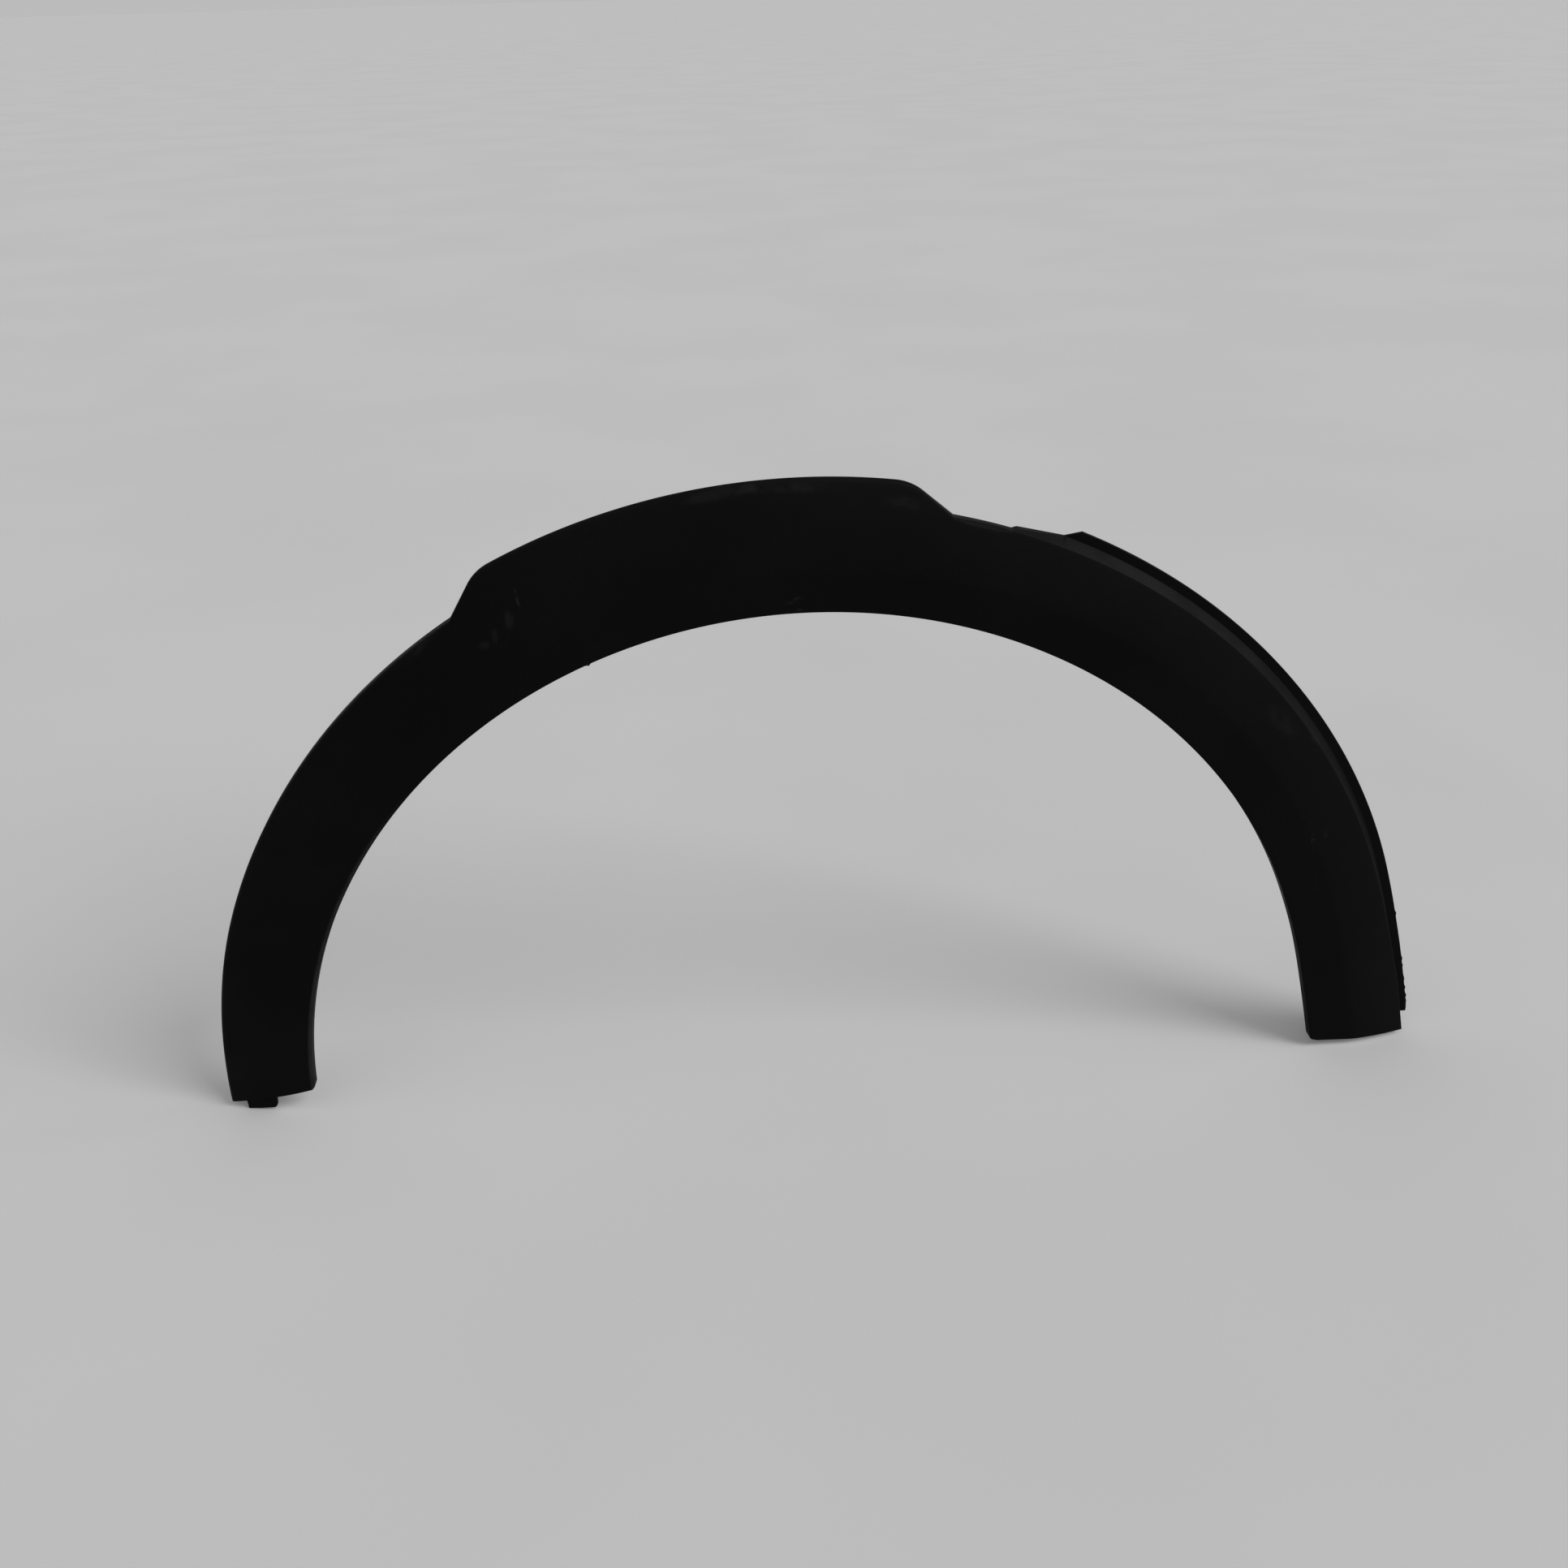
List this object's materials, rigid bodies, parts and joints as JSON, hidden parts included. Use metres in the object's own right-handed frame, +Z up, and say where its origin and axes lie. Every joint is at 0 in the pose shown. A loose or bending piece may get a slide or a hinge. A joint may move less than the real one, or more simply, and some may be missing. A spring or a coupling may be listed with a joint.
{
  "type": "wheel arch trim",
  "caption": "Moulded black plastic trim that rims a car's wheel arch, with a raised crown tab, a bevelled bumper side, an end tongue and clip seats behind.",
  "frame": {"origin": "centre of the wheel arch, on the plane where the trim meets the car body", "axes": "+X along the car towards the bumper side, +Y into the body, +Z up"},
  "size_m": [0.9705, 0.0212, 0.4959],
  "materials": {
    "grained_plastic": "fine moulded grain, unpainted, matt, with a little dust and a few pale scuffs"
  },
  "bodies": {
    "root": {"arch_trim": "grained_plastic"}
  },
  "joints": []
}
